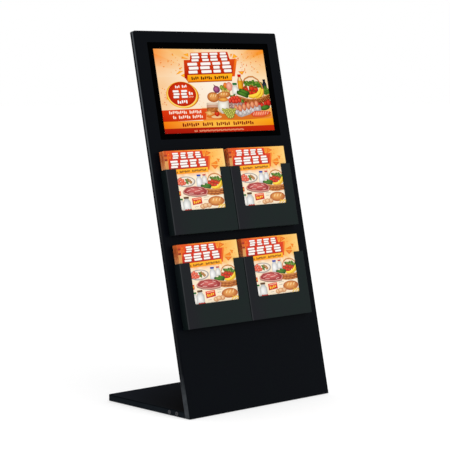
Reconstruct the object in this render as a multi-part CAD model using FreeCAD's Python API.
import FreeCAD, Part

import math
import os

# A leaning information kiosk: a thin steel upright with a touchscreen and four
# leaflet pockets on its face, standing on a flat steel base that runs back from
# its foot. Millimetres, +Z up, the origin on the floor at the middle of the
# whole object. The upright's pieces are drawn in its own frame: X across, Y
# back from the front face, Z up along the face from the bottom edge. lean()
# tilts them back onto the base.

# Overall sizes
WIDTH = 516.8
HEIGHT = 1000.0
LEAN = 12.3
UPRIGHT_T = 17.0
BASE_DEPTH = 335.0
BASE_T = 17.5
FOOT_T = 1.5

# Sheet metal
SHEET = 1.5
THIN_SHEET = 1.2
FOLD_R = 3.0
CORNER_R = 5.0

# Named clearances
FIT = 0.5
SEAT = 0.3
RUN = 0.05
THREAD = 0.05
REST = 0.1

# Touchscreen: cover glass, its printed border and the panel behind it
GLASS_W = 439.0
GLASS_H = 260.0
GLASS_T = 3.0
GLASS_R = 2.0
GLASS_TOP = 31.5
PANEL_W = 430.0
PANEL_H = 254.0
PANEL_T = 10.5
PANEL_LIP = 6.0
TAPE_T = 0.5
CARRIER_LEDGE = 1.2
CARRIER_RIM = 10.0

# Rails that clamp the panel, and their welded studs
RAIL_X = 150.0
RAIL_W = 20.0
RAIL_FOOT = 14.0
RAIL_SEAT = 8.0
STUD_R = 2.0
STUD_BASE_R = 4.0
NUT_AF = 7.0
NUT_T = 3.2

# Leaflet pockets, two rows of two, and the leaflets in them
POCKET_W = 226.0
POCKET_H = 172.0
POCKET_D = 21.5
POCKET_GAP = 2.0
POCKET_ROW_X = -9.5
POCKET_PITCH = 247.0
POCKET_FOLD_R = 1.6
SCREEN_GAP = 33.3
NOTCH_W = 156.0
NOTCH_H = 110.0
NOTCH_R = 4.0
LEAFLET_W = 211.0
LEAFLET_H = 220.0
LEAFLET_X = -5.4
POCKET_STUD_X = 60.0
POCKET_STUD_S = 26.0
POCKET_STUD_L = 9.0

# Stiffening channels inside the upright
CHANNEL_W = 25.0
CHANNEL_FOOT = 30.0
CHANNEL_TOP_GAP = 30.0
BACK_SCREWS = 5
BACK_SCREW_INSET = 60.0
BACK_SCREW_R = 2.0
BACK_SCREW_L = 6.0
BACK_HEAD_R = 3.8
BACK_HEAD_H = 1.8

# Plates and screws that join the upright to the base
JOINT_T = 6.0
JOINT_REACH = 88.0
JOINT_RISE = 120.0
JOINT_INSET = 2.0
JOINT_BOLT_S = (62.0, 100.0)
JOINT_BOLT_R = 2.5
JOINT_BOLT_L = 7.0
JOINT_HEAD_R = 4.2
JOINT_HEAD_H = 2.6
SIDE_SCREW_Y = (50.0, 79.0)
SIDE_SCREW_Z = 8.0
SIDE_SCREW_R = 3.0
SIDE_SCREW_L = 7.0
SIDE_HEAD_R = 5.2
SIDE_HEAD_H = 2.2
SOCKET_AF = 3.6
SOCKET_DEPTH = 1.4

# Base. The joint plates pass through its open front.
BALLAST_T = 6.0
BASE_MOUTH = 9.0
BASE_SCREW_R = 2.5
BASE_SCREW_HEAD_R = 4.6
BASE_SCREW_INSET = 60.0
BASE_SCREW_L = 12.0
STANDOFF_AF = 10.0
FOOT_R = 12.0
FOOT_INSET = 26.0

# Rear housing for the electronics, its door and its lock
HOUSING_W = 360.0
HOUSING_H = 196.0
HOUSING_D = 31.0
HOUSING_FLANGE = 14.0
HOUSING_R = 3.0
HOUSING_SCREW_R = 1.5
HOUSING_SCREW_L = 5.0
HOUSING_HEAD_R = 3.0
DOOR_LIP = 20.0
DOOR_LAP = 8.0
VENT_W = 3.0
VENT_L = 18.0
VENT_PITCH = 9.0
VENTS = 12
KNUCKLE_R = 3.0
PIN_R = 1.5
KNUCKLE_L = 28.0
HINGE_LEAF = 6.0
PIN_HEAD_H = 1.2
LOCK_INSET = 22.0
LOCK_R = 8.0
LOCK_HEAD_R = 11.0
LOCK_HEAD_T = 2.0
LOCK_NUT_R = 11.5
LOCK_NUT_T = 3.0
PLUG_R = 5.0
KEYWAY_W = 1.6
KEYWAY_L = 7.0
KEYWAY_DEPTH = 5.0
CAM_W = 14.0
CAM_L = 34.0
CAM_T = 1.8
CAM_SCREW_R = 2.0
CAM_SCREW_BITE = 5.0
CAM_HEAD = 1.6

# Sockets and switch in the housing's lower wall
JACK_X = -60.0
JACK_R = 5.5
JACK_L = 14.0
JACK_BORE_R = 3.1
JACK_BORE_L = 10.0
JACK_PIN_R = 1.0
JACK_PIN_TIP = 0.5
JACK_FLANGE_R = 8.0
JACK_FLANGE_T = 1.5
SWITCH_X = -20.0
SWITCH_W = 19.0
SWITCH_T = 13.0
SWITCH_RIM = 2.0
SWITCH_RIM_T = 1.5
SWITCH_DEPTH = 14.0
SWITCH_WALL = 1.2
SWITCH_WELL = 8.0
TRUNNION_R = 1.0
TRUNNION_END = 0.4
ROCKER_WINDOW = 8.7
ROCKER_TILT = 10.0
ROCKER_OUTLINE = (
    (-7.6, -4.0),
    (0, -2.6),
    (7.6, -4.0),
    (7.6, -2.2),
    (3.0, 2.5),
    (-3.0, 2.5),
    (-7.6, -2.2),
)
USB_X = 30.0
USB_W = 30.0
USB_T = 13.0
USB_PORT_W = 12.5
USB_PORT_T = 5.1
USB_TONGUE_T = 1.9
USB_TONGUE_SIDE = 0.8
USB_TONGUE_EDGE = 0.5
USB_DEPTH = 14.0
USB_SHELL_L = 16.0
USB_PROUD = 0.6

# Boards inside the housing: centre across, centre along, width, height. The
# chips on a board: centre from the board's, width, height, rise from the board.
PCB_T = 1.6
BOARD_STANDOFF = 5.0
STANDOFF_R = 2.6
BOARD_SCREW_R = 1.4
BOARD_HOLE_INSET = 5.0
PLAYER = (-88.0, 22.0, 140.0, 104.0)
DRIVER = (62.0, 40.0, 112.0, 64.0)
TOUCH = (40.0, -34.0, 62.0, 34.0)
POWER = (-100.0, -62.0, 92.0, 42.0)
PROCESSOR = (-8.0, 8.0, 30.0, 30.0, 2.0)
PLAYER_CHIPS = ((38, 20, 24, 9, 1.2), (38, 4, 24, 9, 1.2), (-45, 30, 14, 14, 1.5))
PLAYER_SOCKETS = 5
PLAYER_SOCKET = (-50, -45, 16, 12, 9)
PLAYER_SOCKET_PITCH = 22
DRIVER_CHIPS = (
    (-10, 6, 20, 20, 1.6),
    (34, 0, 8, 40, 4.0),
    (-40, -20, 12, 10, 6.0),
    (10, -22, 34, 6, 4.0),
)
TOUCH_CHIPS = ((0, 2, 12, 12, 1.2), (-20, 0, 5, 18, 3.0), (22, 0, 5, 14, 3.0))
POWER_TERMINAL = (26, 0, 10, 30, 8.0)
POWER_CHIPS = ((-26, 0, 16, 16, 9.0), (-4, 6, 12, 12, 7.0), (-4, -9, 8, 8, 10.0))
BOARD_SCREW_HEAD_H = 1.4
BOARD_SCREW_L = 5.0
HEATSINK = 46.0
HEATSINK_FOOT = 2.0
HEATSINK_H = 10.0
FINS = 8
FIN_T = 1.2
RIBBON_W = 32.0
RIBBON_T = 0.6
RIBBON_RISE = 2.0
RIBBON_LAP = 7.0
RIBBON_TAIL = 24.0
RIBBON_DROP = 8.0
RIBBON_SLOT_W = 36.0
RIBBON_SLOT_T = 7.0
LEAD_R = 1.8
LEAD_BEND = 12.0

# Worked out from the values above
HALF = WIDTH / 2
THETA = math.radians(LEAN)
LENGTH = (HEIGHT - FOOT_T) / math.cos(THETA)
BACK_FACE = UPRIGHT_T - THIN_SHEET
GLASS_MID = LENGTH - GLASS_TOP - GLASS_H / 2
HOUSING_MID = GLASS_MID
PANEL_FRONT = GLASS_T + TAPE_T
PANEL_BACK = PANEL_FRONT + PANEL_T
UPPER_POCKET = GLASS_MID - GLASS_H / 2 - SCREEN_GAP - LEAFLET_H - THIN_SHEET
LOWER_POCKET = UPPER_POCKET - POCKET_PITCH
HOUSING_SEAT = UPRIGHT_T + THIN_SHEET
HOUSING_REAR = UPRIGHT_T + HOUSING_D
DOOR_FRONT = HOUSING_REAR + SEAT
DOOR_BACK = DOOR_FRONT + SHEET
HINGE_X = -HOUSING_W / 2 + DOOR_LIP - DOOR_LAP - KNUCKLE_R
HINGE_B = DOOR_FRONT + KNUCKLE_R
PCB_BACK = HOUSING_SEAT + BOARD_STANDOFF
PCB_FRONT = PCB_BACK + PCB_T


def vec(x, y, z):
    return FreeCAD.Vector(x, y, z)


def block(low, high):
    """A box between two opposite corners."""
    size = [b - a for a, b in zip(low, high)]
    return Part.makeBox(size[0], size[1], size[2], vec(*low))


def plate(mid_x, mid_z, width, height, y0, y1):
    """A flat piece of the upright, by its centre, its size and its two depths."""
    low = (mid_x - width / 2, y0, mid_z - height / 2)
    high = (mid_x + width / 2, y1, mid_z + height / 2)
    return block(low, high)


def rod(start, direction, radius, length):
    return Part.makeCylinder(radius, length, vec(*start), vec(*direction))


def hexagon(start, direction, across_flats, length):
    """A hexagonal bar that runs from a point along a direction."""
    radius = across_flats / math.sqrt(3)
    corners = []
    for i in range(7):
        angle = math.radians(60 * i)
        corners.append(vec(radius * math.cos(angle), radius * math.sin(angle), 0))
    bar = Part.Face(Part.makePolygon(corners)).extrude(vec(0, 0, length))
    turn = FreeCAD.Rotation(vec(0, 0, 1), vec(*direction))
    bar.Placement = FreeCAD.Placement(vec(*start), turn)
    return bar


def along(start, direction, distance):
    """The point at a distance from a start along a direction."""
    return tuple(a + distance * d for a, d in zip(start, direction))


def screw(seat, direction, radius, length, head_r, head_h):
    """A button-head screw. It is seated at a point and its shank runs along direction."""
    back = tuple(-d for d in direction)
    head = rod(seat, back, head_r, head_h)
    rim = [e for e in head.Edges if e.Length > 6 * head_r * 0.9]
    top = max(rim, key=lambda e: (e.CenterOfMass - vec(*seat)).Length)
    head = head.makeFillet(min(head_h, head_r) * 0.6, [top])
    body = head.fuse(rod(seat, direction, radius, length))
    mouth = along(seat, back, head_h - SOCKET_DEPTH)
    key = hexagon(mouth, back, min(SOCKET_AF, head_r), SOCKET_DEPTH + 1)
    return body.cut(key)


def fillet(shape, radius, wanted):
    """Rounds the edges that the wanted function picks."""
    return shape.makeFillet(radius, [e for e in shape.Edges if wanted(e)])


def runs(edge, axis):
    """True where a straight edge runs along an axis."""
    first, last = edge.Vertexes[0].Point, edge.Vertexes[-1].Point
    span = last - first
    length = span.Length
    return length > 0 and abs(span.dot(vec(*axis))) > 0.999 * length


def lean(shape):
    """Tilts a piece of the upright back onto the base."""
    placed = shape.copy()
    tilt = FreeCAD.Placement(vec(0, 0, 0), FreeCAD.Rotation(vec(1, 0, 0), -LEAN))
    shift = FreeCAD.Placement(vec(0, -BASE_DEPTH / 2, FOOT_T), FreeCAD.Rotation())
    placed.Placement = shift.multiply(tilt).multiply(placed.Placement)
    return placed


def stand(shape):
    """Puts a piece of the base, drawn from the upright's bottom edge, in place."""
    placed = shape.copy()
    shift = FreeCAD.Placement(vec(0, -BASE_DEPTH / 2, FOOT_T), FreeCAD.Rotation())
    placed.Placement = shift.multiply(placed.Placement)
    return placed


def floor_rise(depth, lift=0.0):
    """How far up the upright's frame a level lift above its bottom edge lies."""
    return depth * math.tan(THETA) + lift / math.cos(THETA)


def slab(half_width, front, back, lift, top):
    """The upright's prism: flat bottom, leaning front and back, square top."""
    outline = [
        vec(-half_width, front, floor_rise(front, lift)),
        vec(-half_width, back, floor_rise(back, lift)),
        vec(-half_width, back, top),
        vec(-half_width, front, top),
    ]
    face = Part.Face(Part.makePolygon(outline + outline[:1]))
    return face.extrude(vec(2 * half_width, 0, 0))


def rounded_slab(half_width, front, back, lift, top, corner_r, fold_r):
    """The prism with round top corners and rounded front edges."""
    shape = slab(half_width, front, back, lift, top)
    shape = fillet(
        shape, corner_r, lambda e: runs(e, (0, 1, 0)) and e.CenterOfMass.z > top - 1
    )

    def front_edge(edge):
        middle = edge.CenterOfMass
        low = middle.z < floor_rise(front, lift) + 1
        return abs(middle.y - front) < 0.01 and not low

    return fillet(shape, fold_r, front_edge)


# ---- Upright ----


def rail_feet():
    """Heights of the two welded studs that hold each rail."""
    offset = GLASS_H / 2 + CARRIER_RIM + THIN_SHEET + 2 * FIT + RAIL_FOOT / 2
    return (GLASS_MID - offset, GLASS_MID + offset)


def rail_studs():
    """Shouldered studs welded to the back of the front panel."""
    studs = []
    for x in (-RAIL_X, RAIL_X):
        for z in rail_feet():
            base = (x, SHEET, z)
            studs.append(rod(base, (0, 1, 0), STUD_BASE_R, RAIL_SEAT - SHEET))
            tall = RAIL_SEAT + THIN_SHEET + NUT_T + 1 - SHEET
            studs.append(rod(base, (0, 1, 0), STUD_R, tall))
    return studs


def pocket_places():
    """Each pocket's name with its centre across and its bottom edge."""
    step = (POCKET_W + POCKET_GAP) / 2
    sides = (("left", POCKET_ROW_X - step), ("right", POCKET_ROW_X + step))
    rows = (("upper", UPPER_POCKET), ("lower", LOWER_POCKET))
    for row, bottom in rows:
        for side, middle in sides:
            yield f"{row}_{side}", middle, bottom


def pocket_studs(middle, bottom):
    """The four points where a pocket's studs pass through the front panel."""
    for x in (middle - POCKET_STUD_X, middle + POCKET_STUD_X):
        for z in (bottom + POCKET_STUD_S, bottom + POCKET_H - POCKET_STUD_S):
            yield x, z


def front_panel():
    outer = rounded_slab(HALF, 0, UPRIGHT_T, 0, LENGTH, CORNER_R, FOLD_R)
    inside = (HALF - SHEET, SHEET, UPRIGHT_T + 1, SHEET, LENGTH - SHEET)
    cavity = rounded_slab(*inside, CORNER_R - SHEET, FOLD_R - SHEET)
    window = plate(0, GLASS_MID, GLASS_W + 2 * FIT, GLASS_H + 2 * FIT, -1, SHEET + 1)
    window = fillet(window, GLASS_R + FIT, lambda e: runs(e, (0, 1, 0)))
    shell = outer.cut(cavity).cut(window)
    # The base closes the foot of the upright from behind.
    shell = shell.fuse(rail_studs())
    holes = []
    for _, middle, bottom in pocket_places():
        for x, z in pocket_studs(middle, bottom):
            holes.append(rod((x, -1, z), (0, 1, 0), STUD_R + SEAT, SHEET + 2))
    return shell.cut(Part.makeCompound(holes))


def back_screw_places():
    """Points of the screws that hold the back panel to the channels."""
    low = CHANNEL_FOOT + BACK_SCREW_INSET / 2
    high = channel_top() - BACK_SCREW_INSET / 2
    step = (high - low) / (BACK_SCREWS - 1)
    across = channel_web() - CHANNEL_W / 2
    for x in (-across, across):
        for i in range(BACK_SCREWS):
            yield x, low + i * step


def channel_web():
    """Outer face of a channel's web, against the joint plate."""
    return HALF - SHEET - JOINT_T


def channel_top():
    return GLASS_MID - GLASS_H / 2 - CHANNEL_TOP_GAP


def housing_screw_places():
    """Points of the screws round the rear housing's flange."""
    across = HOUSING_W / 2 + HOUSING_FLANGE / 2
    up = HOUSING_H / 2 + HOUSING_FLANGE / 2
    for x in (-across, 0, across):
        for z in (-up, up):
            yield x, HOUSING_MID + z
    for x in (-across, across):
        yield x, HOUSING_MID


def back_panel():
    half = HALF - SHEET - FIT
    bottom = BASE_T + FIT
    sheet = slab(half, BACK_FACE, UPRIGHT_T, bottom, LENGTH - SHEET - FIT)
    sheet = fillet(
        sheet,
        CORNER_R - SHEET,
        lambda e: runs(e, (0, 1, 0)) and e.CenterOfMass.z > LENGTH / 2,
    )
    opening = (HOUSING_W - 2 * DOOR_LIP, HOUSING_H - 2 * DOOR_LIP)
    cuts = [plate(0, HOUSING_MID, *opening, BACK_FACE - 1, UPRIGHT_T + 1)]
    for x, z in back_screw_places():
        cuts.append(rod((x, BACK_FACE - 1, z), (0, 1, 0), BACK_SCREW_R + SEAT, 4))
    for x, z in housing_screw_places():
        start = (x, BACK_FACE - 1, z)
        cuts.append(rod(start, (0, 1, 0), HOUSING_SCREW_R + THREAD, 4))
    return sheet.cut(Part.makeCompound(cuts))


def back_panel_screws():
    size = (BACK_SCREW_R, BACK_SCREW_L, BACK_HEAD_R, BACK_HEAD_H)
    screws = []
    for x, z in back_screw_places():
        screws.append(screw((x, UPRIGHT_T, z), (0, -1, 0), *size))
    return Part.makeCompound(screws)


def stiffener(side):
    """A channel behind the front panel, its web against the joint plate."""
    web_x = side * channel_web()
    inner_x = side * (channel_web() - CHANNEL_W)
    low_x, high_x = min(web_x, inner_x), max(web_x, inner_x)
    bar = block((low_x, SHEET, CHANNEL_FOOT), (high_x, BACK_FACE, channel_top()))
    hollow_out = web_x - side * SHEET
    hollow_in = inner_x - side
    ends = (min(hollow_out, hollow_in), max(hollow_out, hollow_in))
    low = (ends[0], 2 * SHEET, CHANNEL_FOOT - 1)
    high = (ends[1], BACK_FACE - SHEET, channel_top() + 1)
    cuts = [block(low, high)]
    for x, z in back_screw_places():
        start = (x, BACK_FACE - SHEET - 1, z)
        cuts.append(rod(start, (0, 1, 0), BACK_SCREW_R + THREAD, SHEET + 2))
    for z in JOINT_BOLT_S:
        start = (web_x - side * (SHEET + 1), joint_bolt_depth(), z)
        cuts.append(rod(start, (side, 0, 0), JOINT_BOLT_R + SEAT, SHEET + 2))
    return bar.cut(Part.makeCompound(cuts))


# ---- Touchscreen ----


def ring(width, height, inner_w, inner_h, y0, y1):
    """A flat rectangular frame round the middle of the glass."""
    frame = plate(0, GLASS_MID, width, height, y0, y1)
    return frame.cut(plate(0, GLASS_MID, inner_w, inner_h, y0 - 1, y1 + 1))


def cover_glass():
    glass = plate(0, GLASS_MID, GLASS_W, GLASS_H, 0, GLASS_T)
    return fillet(glass, GLASS_R, lambda e: runs(e, (0, 1, 0)))


def glass_tape():
    inner = (PANEL_W + 2 * FIT, PANEL_H + 2 * FIT)
    return ring(GLASS_W - 1, GLASS_H - 1, *inner, GLASS_T, PANEL_FRONT)


def glass_carrier():
    """The moulded frame that the glass is taped to, glued behind the front panel."""
    outer = (GLASS_W + 2 * CARRIER_RIM, GLASS_H + 2 * CARRIER_RIM)
    inner = (PANEL_W + 2 * FIT, PANEL_H + 2 * FIT)
    frame = ring(*outer, *inner, SHEET, PANEL_FRONT + CARRIER_LEDGE)
    seat = (GLASS_W + 2 * FIT, GLASS_H + 2 * FIT)
    return frame.cut(plate(0, GLASS_MID, *seat, 0, PANEL_FRONT))


def lcd_panel():
    """The display module: a glass cell in a steel tray with a raised back."""
    front = plate(0, GLASS_MID, PANEL_W, PANEL_H, PANEL_FRONT, PANEL_BACK)
    step_w, step_h = PANEL_W - 2 * PANEL_LIP, PANEL_H - 2 * PANEL_LIP
    edge = ring(PANEL_W + 1, PANEL_H + 1, step_w, step_h, PANEL_BACK - 2, PANEL_BACK + 1)
    return front.cut(edge)


def panel_rail(side):
    """A folded strip across the panel's back with a foot on a stud at each end."""
    x = side * RAIL_X
    reach = GLASS_H / 2 + CARRIER_RIM + 2 * FIT
    wall = reach + THIN_SHEET
    back = PANEL_BACK + THIN_SHEET
    parts = [plate(x, GLASS_MID, RAIL_W, 2 * wall, PANEL_BACK, back)]
    for way in (-1, 1):
        riser = GLASS_MID + way * (reach + THIN_SHEET / 2)
        parts.append(plate(x, riser, RAIL_W, THIN_SHEET, RAIL_SEAT, back))
        foot = GLASS_MID + way * (reach + (RAIL_FOOT + THIN_SHEET) / 2)
        foot_l = RAIL_FOOT + THIN_SHEET
        parts.append(plate(x, foot, RAIL_W, foot_l, RAIL_SEAT, RAIL_SEAT + THIN_SHEET))
    rail = parts[0].fuse(parts[1:]).removeSplitter()
    holes = [rod((x, 0, z), (0, 1, 0), STUD_R + SEAT, UPRIGHT_T) for z in rail_feet()]
    return rail.cut(Part.makeCompound(holes))


def nut(start, direction, bolt_r):
    """A hexagonal nut on a stud or bolt."""
    blank = hexagon(start, direction, NUT_AF, NUT_T)
    return blank.cut(rod(start, direction, bolt_r + THREAD, NUT_T))


def rail_nuts():
    nuts = []
    for x in (-RAIL_X, RAIL_X):
        for z in rail_feet():
            nuts.append(nut((x, RAIL_SEAT + THIN_SHEET, z), (0, 1, 0), STUD_R))
    return Part.makeCompound(nuts)


# ---- Electronics behind the screen ----


def board_corners(board):
    """The four fixing points of a board."""
    x, z, width, height = board
    for dx in (-1, 1):
        for dz in (-1, 1):
            across = x + dx * (width / 2 - BOARD_HOLE_INSET)
            up = HOUSING_MID + z + dz * (height / 2 - BOARD_HOLE_INSET)
            yield across, up


def board(place, chips):
    """A circuit board with its chips, each as centre, size and height from the board."""
    x, z, width, height = place
    body = plate(x, HOUSING_MID + z, width, height, PCB_BACK, PCB_FRONT)
    holes = []
    for across, up in board_corners(place):
        start = (across, PCB_BACK - 1, up)
        holes.append(rod(start, (0, 1, 0), BOARD_SCREW_R + SEAT, PCB_T + 2))
    body = body.cut(Part.makeCompound(holes))
    bodies = []
    for dx, dz, chip_w, chip_h, rise in chips:
        place_x, place_z = x + dx, HOUSING_MID + z + dz
        chip = plate(place_x, place_z, chip_w, chip_h, PCB_FRONT, PCB_FRONT + rise)
        bodies.append(chip)
    return body.fuse(bodies)


def player_board():
    first, *size = PLAYER_SOCKET
    sockets = [(first + PLAYER_SOCKET_PITCH * i, *size) for i in range(PLAYER_SOCKETS)]
    return board(PLAYER, [*sockets, *PLAYER_CHIPS, PROCESSOR])


def player_heatsink():
    """A finned block on the processor."""
    x, z = PLAYER[0] + PROCESSOR[0], HOUSING_MID + PLAYER[1] + PROCESSOR[1]
    base_y = PCB_FRONT + PROCESSOR[4]
    fin_y = base_y + HEATSINK_FOOT
    foot = plate(x, z, HEATSINK, HEATSINK, base_y, fin_y)
    pitch = (HEATSINK - FIN_T) / (FINS - 1)
    fins = []
    for i in range(FINS):
        across = x - (HEATSINK - FIN_T) / 2 + i * pitch
        fins.append(plate(across, z, FIN_T, HEATSINK, fin_y, base_y + HEATSINK_H))
    return foot.fuse(fins)


def display_driver_board():
    return board(DRIVER, DRIVER_CHIPS)


def touch_controller_board():
    return board(TOUCH, TOUCH_CHIPS)


def power_board():
    return board(POWER, [*POWER_CHIPS, POWER_TERMINAL])


def board_standoffs():
    posts = []
    for place in (PLAYER, DRIVER, TOUCH, POWER):
        for x, z in board_corners(place):
            start = (x, HOUSING_SEAT, z)
            post = rod(start, (0, 1, 0), STANDOFF_R, BOARD_STANDOFF)
            bore = rod(start, (0, 1, 0), BOARD_SCREW_R + THREAD, BOARD_STANDOFF)
            posts.append(post.cut(bore))
    return Part.makeCompound(posts)


def board_screws():
    screws = []
    for place in (PLAYER, DRIVER, TOUCH, POWER):
        for x, z in board_corners(place):
            head = rod((x, PCB_FRONT, z), (0, 1, 0), STANDOFF_R, BOARD_SCREW_HEAD_H)
            tip = (x, PCB_FRONT - BOARD_SCREW_L, z)
            shank = rod(tip, (0, 1, 0), BOARD_SCREW_R, BOARD_SCREW_L)
            screws.append(head.fuse(shank))
    return Part.makeCompound(screws)


def ribbon_slot_z():
    return HOUSING_MID + DRIVER[1] - DRIVER[3] / 2 - RIBBON_DROP


def equipment_plate():
    """The plate that carries the boards, between the back panel and the housing."""
    width = HOUSING_W + 2 * HOUSING_FLANGE
    height = HOUSING_H + 2 * HOUSING_FLANGE
    sheet = plate(0, HOUSING_MID, width, height, UPRIGHT_T, HOUSING_SEAT)
    slot = (DRIVER[0], ribbon_slot_z(), RIBBON_SLOT_W, RIBBON_SLOT_T)
    cuts = [plate(*slot, UPRIGHT_T - 1, HOUSING_SEAT + 1)]
    for x, z in housing_screw_places():
        cuts.append(rod((x, UPRIGHT_T - 1, z), (0, 1, 0), HOUSING_SCREW_R + SEAT, 4))
    return sheet.cut(Part.makeCompound(cuts))


def display_ribbon():
    """The flat cable from the driver board, through the plate, to the panel's back."""
    left, right = DRIVER[0] - RIBBON_W / 2, DRIVER[0] + RIBBON_W / 2
    slot = ribbon_slot_z()
    over_board = HOUSING_MID + DRIVER[1] - DRIVER[3] / 2 + RIBBON_LAP
    above = PCB_FRONT + RIBBON_RISE
    behind_panel = PANEL_BACK + SEAT
    flat = block((left, above, slot), (right, above + RIBBON_T, over_board))
    drop = block((left, behind_panel, slot), (right, above, slot + RIBBON_T))
    low = (left, behind_panel, slot - RIBBON_TAIL)
    tail = block(low, (right, behind_panel + RIBBON_T, slot + RIBBON_T))
    return flat.fuse([drop, tail]).removeSplitter()


def power_lead():
    """The two-core lead from the switch to the power board."""
    wall = HOUSING_MID - HOUSING_H / 2 + THIN_SHEET
    start = vec(SWITCH_X, port_depth(), wall + SWITCH_DEPTH)
    knee = vec(SWITCH_X, port_depth(), HOUSING_MID + POWER[1])
    terminal = POWER[0] + POWER_TERMINAL[0] + POWER_TERMINAL[2] / 2
    end = vec(terminal, port_depth(), HOUSING_MID + POWER[1])
    first = vec(knee.x, knee.y, knee.z - LEAD_BEND)
    last = vec(knee.x - LEAD_BEND, knee.y, knee.z)
    turn = LEAD_BEND * (1 - math.sqrt(0.5))
    middle = vec(knee.x - turn, knee.y, knee.z - turn)
    route = Part.Wire(
        [
            Part.LineSegment(start, first).toShape(),
            Part.Arc(first, middle, last).toShape(),
            Part.LineSegment(last, end).toShape(),
        ]
    )
    profile = Part.Wire([Part.makeCircle(LEAD_R, start, vec(0, 0, 1))])
    return route.makePipeShell([profile], True, False)


# ---- Rear housing, door and lock ----


def rear_housing():
    """A folded box with a flange round its mouth and a lip round its door opening."""
    outer = plate(0, HOUSING_MID, HOUSING_W, HOUSING_H, HOUSING_SEAT, HOUSING_REAR)
    outer = fillet(outer, HOUSING_R, lambda e: runs(e, (0, 1, 0)))
    flange_w, flange_h = HOUSING_W + 2 * HOUSING_FLANGE, HOUSING_H + 2 * HOUSING_FLANGE
    flange_back = HOUSING_SEAT + THIN_SHEET
    flange = plate(0, HOUSING_MID, flange_w, flange_h, HOUSING_SEAT, flange_back)
    flange = fillet(flange, HOUSING_R, lambda e: runs(e, (0, 1, 0)))
    inner_w, inner_h = HOUSING_W - 2 * THIN_SHEET, HOUSING_H - 2 * THIN_SHEET
    room = plate(0, HOUSING_MID, inner_w, inner_h, HOUSING_SEAT - 1, HOUSING_REAR - THIN_SHEET)
    door_w, door_h = HOUSING_W - 2 * DOOR_LIP, HOUSING_H - 2 * DOOR_LIP
    doorway = plate(0, HOUSING_MID, door_w, door_h, HOUSING_SEAT, HOUSING_REAR + 1)
    shell = outer.fuse(flange).removeSplitter().cut(room).cut(doorway)
    cuts = []
    for x, z in housing_screw_places():
        start = (x, HOUSING_SEAT - 1, z)
        cuts.append(rod(start, (0, 1, 0), HOUSING_SCREW_R + SEAT, THIN_SHEET + 2))
    return shell.cut(Part.makeCompound(cuts + vents() + port_cuts()))


def vents():
    """Upright slots through the upper wall, where warm air leaves."""
    slots = []
    top = HOUSING_MID + HOUSING_H / 2
    for i in range(VENTS):
        x = (i - (VENTS - 1) / 2) * VENT_PITCH
        depth = port_depth()
        low = (x - VENT_W / 2, depth - VENT_L / 2, top - THIN_SHEET - 1)
        slots.append(block(low, (x + VENT_W / 2, depth + VENT_L / 2, top + 1)))
    return slots


def port_depth():
    """Middle of the housing's wall, front to back."""
    return (HOUSING_SEAT + HOUSING_REAR) / 2


def port_cuts():
    """Openings for the jack, the switch and the sockets in the lower wall."""
    y = port_depth()
    wall = HOUSING_MID - HOUSING_H / 2
    jack = rod((JACK_X, y, wall - 1), (0, 0, 1), JACK_R + THREAD, THIN_SHEET + 2)
    cuts = [jack]
    for x, width, depth in ((SWITCH_X, SWITCH_W, SWITCH_T), (USB_X, USB_W, USB_T)):
        low = (x - width / 2, y - depth / 2, wall - 1)
        cuts.append(block(low, (x + width / 2, y + depth / 2, wall + THIN_SHEET + 1)))
    return cuts


def housing_screws():
    flange_back = HOUSING_SEAT + THIN_SHEET
    size = (HOUSING_SCREW_R, HOUSING_SCREW_L, HOUSING_HEAD_R, BACK_HEAD_H)
    screws = []
    for x, z in housing_screw_places():
        screws.append(screw((x, flange_back, z), (0, -1, 0), *size))
    return Part.makeCompound(screws)


def dc_jack():
    """A round low-voltage socket with a centre pin, its flange under the wall."""
    y = port_depth()
    wall = HOUSING_MID - HOUSING_H / 2
    mouth = wall - JACK_FLANGE_T
    flange = rod((JACK_X, y, mouth), (0, 0, 1), JACK_FLANGE_R, JACK_FLANGE_T)
    body = rod((JACK_X, y, wall), (0, 0, 1), JACK_R, JACK_L)
    bore = rod((JACK_X, y, mouth), (0, 0, 1), JACK_BORE_R, JACK_FLANGE_T + JACK_BORE_L)
    pin_start = wall - JACK_PIN_TIP
    pin = rod((JACK_X, y, pin_start), (0, 0, 1), JACK_PIN_R, JACK_BORE_L + 2 * JACK_PIN_TIP)
    return flange.fuse(body).cut(bore).fuse(pin)


def rocker_pivot():
    """Height of the rocker's axis, just inside the lower wall."""
    return HOUSING_MID - HOUSING_H / 2 + THIN_SHEET


def switch_body():
    """The snap-in case and rim of the rocker switch, with blind holes for the trunnions."""
    y = port_depth()
    wall = HOUSING_MID - HOUSING_H / 2
    rim_w, rim_t = SWITCH_W / 2 + SWITCH_RIM, SWITCH_T / 2 + SWITCH_RIM
    low = (SWITCH_X - rim_w, y - rim_t, wall - SWITCH_RIM_T)
    rim = block(low, (SWITCH_X + rim_w, y + rim_t, wall))
    half_w, half_t = SWITCH_W / 2, SWITCH_T / 2
    top = wall + THIN_SHEET + SWITCH_DEPTH
    case = block((SWITCH_X - half_w, y - half_t, wall), (SWITCH_X + half_w, y + half_t, top))
    window_t = half_t - SWITCH_WALL
    low = (SWITCH_X - ROCKER_WINDOW, y - window_t, wall - SWITCH_RIM_T - 1)
    high = (SWITCH_X + ROCKER_WINDOW, y + window_t, wall + THIN_SHEET + SWITCH_WELL)
    end = half_t - TRUNNION_END
    start = (SWITCH_X, y - end, rocker_pivot())
    trunnion = rod(start, (0, 1, 0), TRUNNION_R + RUN, 2 * end)
    return rim.fuse(case).removeSplitter().cut(block(low, high)).cut(trunnion)


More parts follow.
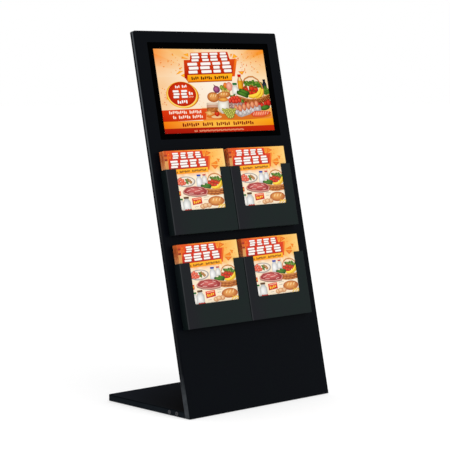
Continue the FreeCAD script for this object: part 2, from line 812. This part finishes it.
def switch_rocker():
    """The rocker, tilted to one side on its two trunnions."""
    y = port_depth()
    half_t = SWITCH_T / 2 - SWITCH_WALL - SEAT
    outline = [vec(px, -half_t, pz) for px, pz in ROCKER_OUTLINE]
    body = Part.Face(Part.makePolygon(outline + outline[:1])).extrude(vec(0, 2 * half_t, 0))
    reach = SWITCH_T / 2 - TRUNNION_END - SEAT
    body = body.fuse(rod((0, -reach, 0), (0, 1, 0), TRUNNION_R, 2 * reach))
    turn = FreeCAD.Rotation(vec(0, 1, 0), ROCKER_TILT)
    body.Placement = FreeCAD.Placement(vec(SWITCH_X, y, rocker_pivot()), turn)
    return body


def usb_ports():
    """Two stacked service sockets in one shell."""
    y = port_depth()
    wall = HOUSING_MID - HOUSING_H / 2
    half_w, half_t = USB_W / 2 - THREAD, USB_T / 2 - THREAD
    low = (USB_X - half_w, y - half_t, wall - USB_PROUD)
    shell = block(low, (USB_X + half_w, y + half_t, wall + USB_SHELL_L))
    tongues = []
    end = wall + USB_DEPTH
    for x in (USB_X - USB_W / 4, USB_X + USB_W / 4):
        port_w, port_t = USB_PORT_W / 2, USB_PORT_T / 2
        port = block((x - port_w, y - port_t, wall - 1), (x + port_w, y + port_t, end))
        shell = shell.cut(port)
        across, front = port_w - USB_TONGUE_SIDE, y - port_t + USB_TONGUE_EDGE
        tongue = block((x - across, front, wall + 1), (x + across, front + USB_TONGUE_T, end))
        tongues.append(tongue)
    return shell.fuse(tongues)


def door_size():
    """Half width from the hinge axis to the free edge, and the door's height."""
    free_edge = HOUSING_W / 2 - DOOR_LIP + DOOR_LAP
    return free_edge, HOUSING_H - 2 * DOOR_LIP + 2 * DOOR_LAP


def knuckle(z0, z1):
    return rod((HINGE_X, HINGE_B, z0), (0, 0, 1), KNUCKLE_R, z1 - z0)


def hinge_places():
    """Middles of the hinge's two knuckle groups."""
    spread = HOUSING_H / 4
    return (HOUSING_MID - spread, HOUSING_MID + spread)


def pin_bore(z0, z1):
    return rod((HINGE_X, HINGE_B, z0), (0, 0, 1), PIN_R + RUN, z1 - z0)


def lock_x():
    return HOUSING_W / 2 - DOOR_LIP - LOCK_INSET


def service_door():
    """A flat overlay door. Its two knuckles in each group stand either side of the fixed one."""
    free_edge, height = door_size()
    hinge_edge = HINGE_X + KNUCKLE_R + FIT
    low = (hinge_edge, DOOR_FRONT, HOUSING_MID - height / 2)
    leaf = block(low, (free_edge, DOOR_BACK, HOUSING_MID + height / 2))
    leaf = fillet(leaf, CORNER_R, lambda e: runs(e, (0, 1, 0)) and e.CenterOfMass.x > 0)
    knuckles = []
    cuts = []
    gap = KNUCKLE_L / 2 + SEAT
    for z in hinge_places():
        for z0 in (z - gap - KNUCKLE_L / 2, z + gap):
            z1 = z0 + KNUCKLE_L / 2
            knuckles.append(knuckle(z0, z1))
            knuckles.append(block((HINGE_X, DOOR_FRONT, z0), (hinge_edge, DOOR_BACK, z1)))
        cuts.append(pin_bore(z - KNUCKLE_L - 1, z + KNUCKLE_L + 1))
    lock_start = (lock_x(), DOOR_FRONT - 1, HOUSING_MID)
    cuts.append(rod(lock_start, (0, 1, 0), LOCK_R + THREAD, SHEET + 2))
    return leaf.fuse(knuckles).cut(Part.makeCompound(cuts))


def hinge_leaf():
    """The fixed leaves on the housing, each with the knuckle between the door's two."""
    leaves = []
    for z in hinge_places():
        half = KNUCKLE_L / 2
        edge = HINGE_X - KNUCKLE_R - HINGE_LEAF
        low = (edge, HOUSING_REAR, z - half)
        flat = block(low, (HINGE_X, HOUSING_REAR + THIN_SHEET, z + half))
        leaf = flat.fuse(knuckle(z - half, z + half))
        leaves.append(leaf.cut(pin_bore(z - half - 1, z + half + 1)))
    return Part.makeCompound(leaves)


def hinge_pin():
    """One pin through each knuckle group, headed at its foot."""
    pins = []
    for z in hinge_places():
        reach = KNUCKLE_L + SEAT
        shaft = rod((HINGE_X, HINGE_B, z - reach), (0, 0, 1), PIN_R, 2 * reach)
        foot = (HINGE_X, HINGE_B, z - reach - PIN_HEAD_H)
        head = rod(foot, (0, 0, 1), PIN_R + 1, PIN_HEAD_H)
        pins.append(shaft.fuse(head))
    return Part.makeCompound(pins)


def lock_body():
    start = (lock_x(), DOOR_BACK, HOUSING_MID)
    head = rod(start, (0, 1, 0), LOCK_HEAD_R, LOCK_HEAD_T)
    barrel = rod(start, (0, -1, 0), LOCK_R, SHEET + LOCK_NUT_T + 1)
    bore = rod(along(start, (0, 1, 0), 10), (0, -1, 0), PLUG_R + RUN, 30)
    return head.fuse(barrel).cut(bore)


def lock_nut():
    start = (lock_x(), DOOR_FRONT, HOUSING_MID)
    blank = hexagon(start, (0, -1, 0), 2 * LOCK_NUT_R * math.sqrt(0.75), LOCK_NUT_T)
    return blank.cut(rod(start, (0, -1, 0), LOCK_R + THREAD, LOCK_NUT_T))


def cam_face():
    """Depth of the face that the cam is screwed against."""
    return DOOR_BACK - SHEET - LOCK_NUT_T - 1 - SEAT


def lock_plug():
    """The part that the key turns, with its keyway."""
    start = (lock_x(), cam_face(), HOUSING_MID)
    shaft = rod(start, (0, 1, 0), PLUG_R, DOOR_BACK + LOCK_HEAD_T - cam_face())
    mouth = DOOR_BACK + LOCK_HEAD_T
    keyway = plate(lock_x(), HOUSING_MID, KEYWAY_W, KEYWAY_L, mouth - KEYWAY_DEPTH, mouth + 1)
    hole = rod(start, (0, 1, 0), CAM_SCREW_R + THREAD, CAM_SCREW_BITE + 1)
    return shaft.cut(keyway).cut(hole)


def lock_cam():
    """The arm that turns behind the lip. It hangs down while the lock is open."""
    x, z = lock_x(), HOUSING_MID
    arm = plate(x, z - CAM_L / 2, CAM_W, CAM_L, cam_face() - CAM_T, cam_face())
    hub = rod((x, cam_face(), z), (0, -1, 0), CAM_W / 2, CAM_T)
    hole = rod((x, cam_face() + 1, z), (0, -1, 0), CAM_SCREW_R + SEAT, CAM_T + 2)
    return arm.fuse(hub).cut(hole)


def cam_screw():
    start = (lock_x(), cam_face() - CAM_T, HOUSING_MID)
    shank = CAM_T + CAM_SCREW_BITE
    return screw(start, (0, 1, 0), CAM_SCREW_R, shank, CAM_SCREW_R + CAM_HEAD, CAM_HEAD)


# ---- Base ----


def back_plane_y(lift):
    """Where the upright's back face is at a height above its bottom edge."""
    return UPRIGHT_T / math.cos(THETA) + lift * math.tan(THETA)


def base_prism(half_width, front_gap, rear, low, high):
    """A flat block whose front end lies against the leaning back of the upright."""
    outline = [
        vec(-half_width, back_plane_y(low) + front_gap, low),
        vec(-half_width, rear, low),
        vec(-half_width, rear, high),
        vec(-half_width, back_plane_y(high) + front_gap, high),
    ]
    face = Part.Face(Part.makePolygon(outline + outline[:1]))
    return face.extrude(vec(2 * half_width, 0, 0))


def side_screw_holes(radius):
    reach = WIDTH + 20
    holes = []
    for y in SIDE_SCREW_Y:
        holes.append(rod((-reach / 2, y, SIDE_SCREW_Z), (1, 0, 0), radius, reach))
    return Part.makeCompound(holes)


def base_tray():
    """The folded cover of the base, open below and towards the upright."""
    outer = base_prism(HALF, 0, BASE_DEPTH, 0, BASE_T)
    outer = fillet(outer, CORNER_R, lambda e: runs(e, (0, 0, 1)))

    def top_rim(edge):
        middle = edge.CenterOfMass
        return abs(middle.z - BASE_T) < 0.01 and middle.y > back_plane_y(BASE_T) + 1

    outer = fillet(outer, FOLD_R - 1, top_rim)
    cavity = base_prism(HALF - SHEET, -BASE_MOUTH, BASE_DEPTH - SHEET, -1, BASE_T - SHEET)
    cavity = fillet(cavity, CORNER_R - SHEET, lambda e: runs(e, (0, 0, 1)))
    return outer.cut(cavity).cut(side_screw_holes(SIDE_SCREW_R + SEAT))


def base_screw_places():
    """Six fixing points of the ballast plate, in two rows."""
    for x in (-HALF + BASE_SCREW_INSET, 0, HALF - BASE_SCREW_INSET):
        for y in (back_plane_y(0) + BASE_SCREW_INSET, BASE_DEPTH - BASE_SCREW_INSET):
            yield x, y


def base_plate():
    """The steel ballast plate that closes the base from below."""
    half = HALF - SHEET - JOINT_T - FIT
    sheet = base_prism(half, FIT, BASE_DEPTH - SHEET - FIT, 0, BALLAST_T)
    cone_h = BASE_SCREW_HEAD_R - BASE_SCREW_R
    cuts = []
    for x, y in base_screw_places():
        cuts.append(rod((x, y, -1), (0, 0, 1), BASE_SCREW_R + SEAT, BALLAST_T + 2))
        cone = (BASE_SCREW_HEAD_R + SEAT, BASE_SCREW_R + SEAT, cone_h)
        cuts.append(Part.makeCone(*cone, vec(x, y, 0), vec(0, 0, 1)))
    return sheet.cut(Part.makeCompound(cuts))


def base_standoffs():
    """Threaded posts welded under the tray, which the plate is screwed to."""
    posts = []
    for x, y in base_screw_places():
        start = (x, y, BALLAST_T)
        tall = BASE_T - SHEET - BALLAST_T
        post = hexagon(start, (0, 0, 1), STANDOFF_AF, tall)
        posts.append(post.cut(rod(start, (0, 0, 1), BASE_SCREW_R + THREAD, tall)))
    return Part.makeCompound(posts)


def base_plate_screws():
    """Countersunk screws, flush with the underside."""
    cone_h = BASE_SCREW_HEAD_R - BASE_SCREW_R
    screws = []
    for x, y in base_screw_places():
        cone = (BASE_SCREW_HEAD_R, BASE_SCREW_R, cone_h)
        head = Part.makeCone(*cone, vec(x, y, 0), vec(0, 0, 1))
        shank = BASE_SCREW_L - cone_h
        body = head.fuse(rod((x, y, cone_h), (0, 0, 1), BASE_SCREW_R, shank))
        screws.append(body.cut(hexagon((x, y, -1), (0, 0, 1), SOCKET_AF, SOCKET_DEPTH + 1)))
    return Part.makeCompound(screws)


def joint_bolt_depth():
    """Middle of the room inside the upright, front to back."""
    return (SHEET + BACK_FACE) / 2


def joint_plate(side):
    """An angle of thick plate at each side: one leg up the upright, one along the base."""
    low_x = HALF - SHEET - JOINT_T
    ends = sorted((side * low_x, side * (low_x + JOINT_T)))
    front, back = SHEET + JOINT_INSET, BACK_FACE - FIT
    bottom = SHEET + FIT
    top = BASE_T - SHEET - FIT - 1
    upper = block((ends[0], front, 0), (ends[1], back, JOINT_RISE))
    below = block((ends[0], -50, -50), (ends[1], JOINT_REACH + 50, bottom))
    upper = lean(upper).cut(stand(below))
    rear = back_plane_y(0) + JOINT_REACH
    lower = stand(block((ends[0], 0, bottom), (ends[1], rear, top)))
    too_far = lean(block((ends[0] - 1, -80, -80), (ends[1] + 1, front, JOINT_RISE)))
    angle = upper.fuse(lower.cut(too_far)).removeSplitter()
    start = min(side * (low_x - 1), side * (low_x + JOINT_T + 1))
    bores = []
    for z in JOINT_BOLT_S:
        place = (start, joint_bolt_depth(), z)
        bores.append(lean(rod(place, (1, 0, 0), JOINT_BOLT_R + THREAD, JOINT_T + 2)))
    bores.append(stand(side_screw_holes(SIDE_SCREW_R + THREAD)))
    return angle.cut(Part.makeCompound(bores))


def joint_bolts():
    """Bolts through each channel's web into its joint plate."""
    bolts = []
    for side in (-1, 1):
        seat = side * (channel_web() - SHEET)
        for z in JOINT_BOLT_S:
            size = (JOINT_BOLT_R, JOINT_BOLT_L, JOINT_HEAD_R, JOINT_HEAD_H)
            bolts.append(screw((seat, joint_bolt_depth(), z), (side, 0, 0), *size))
    return Part.makeCompound(bolts)


def side_screws():
    """Two button-head screws through each side of the base into the joint plate."""
    size = (SIDE_SCREW_R, SIDE_SCREW_L, SIDE_HEAD_R, SIDE_HEAD_H)
    screws = []
    for side in (-1, 1):
        for y in SIDE_SCREW_Y:
            screws.append(screw((side * HALF, y, SIDE_SCREW_Z), (-side, 0, 0), *size))
    return Part.makeCompound(screws)


def foot_pads():
    pads = []
    for x in (-HALF + FOOT_INSET, HALF - FOOT_INSET):
        for y in (back_plane_y(0) + FOOT_INSET, BASE_DEPTH - FOOT_INSET):
            pad = rod((x, y, -FOOT_T), (0, 0, 1), FOOT_R, FOOT_T)
            pads.append(pad)
    return Part.makeCompound(pads)


# ---- Leaflet pockets ----


def pocket(middle, bottom):
    """A folded pocket: back, floor, sides and a front with a finger notch."""
    low = (middle - POCKET_W / 2, -POCKET_D, bottom)
    high = (middle + POCKET_W / 2, 0, bottom + POCKET_H)
    box = fillet(
        block(low, high),
        POCKET_FOLD_R,
        lambda e: runs(e, (0, 0, 1)) and abs(e.CenterOfMass.y + POCKET_D) < 0.01,
    )
    inner_low = (low[0] + THIN_SHEET, low[1] + THIN_SHEET, bottom + THIN_SHEET)
    inner_high = (high[0] - THIN_SHEET, -THIN_SHEET, high[2] + 1)
    shell = box.cut(block(inner_low, inner_high))
    notch_bottom = high[2] - NOTCH_H
    notch_low = (middle - NOTCH_W / 2, -POCKET_D - 1, notch_bottom)
    notch = block(notch_low, (middle + NOTCH_W / 2, -POCKET_D + THIN_SHEET + 1, high[2] + 9))
    notch = fillet(
        notch, NOTCH_R, lambda e: runs(e, (0, 1, 0)) and e.CenterOfMass.z < notch_bottom + 1
    )
    studs = []
    for x, z in pocket_studs(middle, bottom):
        studs.append(rod((x, -THIN_SHEET, z), (0, 1, 0), STUD_R, POCKET_STUD_L + THIN_SHEET))
    return shell.cut(notch).fuse(studs)


def pocket_nuts():
    nuts = []
    for _, middle, bottom in pocket_places():
        for x, z in pocket_studs(middle, bottom):
            nuts.append(nut((x, SHEET, z), (0, 1, 0), STUD_R))
    return Part.makeCompound(nuts)


def leaflets(middle, bottom):
    """A stack of loose leaflets that fills the pocket's depth."""
    foot = bottom + THIN_SHEET + REST
    x = middle + LEAFLET_X
    front = -POCKET_D + THIN_SHEET + SEAT
    low = (x - LEAFLET_W / 2, front, foot)
    return block(low, (x + LEAFLET_W / 2, -THIN_SHEET - SEAT, foot + LEAFLET_H))


UPRIGHT_PARTS = {
    "front_panel": front_panel,
    "back_panel": back_panel,
    "back_panel_screws": back_panel_screws,
    "cover_glass": cover_glass,
    "glass_tape": glass_tape,
    "glass_carrier": glass_carrier,
    "lcd_panel": lcd_panel,
    "rail_nuts": rail_nuts,
    "equipment_plate": equipment_plate,
    "player_board": player_board,
    "player_heatsink": player_heatsink,
    "display_driver_board": display_driver_board,
    "touch_controller_board": touch_controller_board,
    "power_board": power_board,
    "board_standoffs": board_standoffs,
    "board_screws": board_screws,
    "display_ribbon": display_ribbon,
    "power_lead": power_lead,
    "rear_housing": rear_housing,
    "housing_screws": housing_screws,
    "dc_jack": dc_jack,
    "switch_body": switch_body,
    "switch_rocker": switch_rocker,
    "usb_ports": usb_ports,
    "service_door": service_door,
    "hinge_leaf": hinge_leaf,
    "hinge_pin": hinge_pin,
    "lock_body": lock_body,
    "lock_nut": lock_nut,
    "lock_plug": lock_plug,
    "lock_cam": lock_cam,
    "cam_screw": cam_screw,
    "joint_bolts": joint_bolts,
    "pocket_nuts": pocket_nuts,
}

BASE_PARTS = {
    "base_tray": base_tray,
    "base_plate": base_plate,
    "base_standoffs": base_standoffs,
    "base_plate_screws": base_plate_screws,
    "side_screws": side_screws,
    "foot_pads": foot_pads,
}


def write(name, shape):
    shape.exportStep(f"parts/{name}.step")


def main():
    os.makedirs("parts", exist_ok=True)
    for name, make in UPRIGHT_PARTS.items():
        write(name, lean(make()))
    for name, make in BASE_PARTS.items():
        write(name, stand(make()))
    for side, name in ((-1, "left"), (1, "right")):
        write(f"stiffener_{name}", lean(stiffener(side)))
        write(f"panel_rail_{name}", lean(panel_rail(side)))
        write(f"joint_plate_{name}", joint_plate(side))
    for name, middle, bottom in pocket_places():
        write(f"pocket_{name}", lean(pocket(middle, bottom)))
        write(f"leaflets_{name}", lean(leaflets(middle, bottom)))


main()
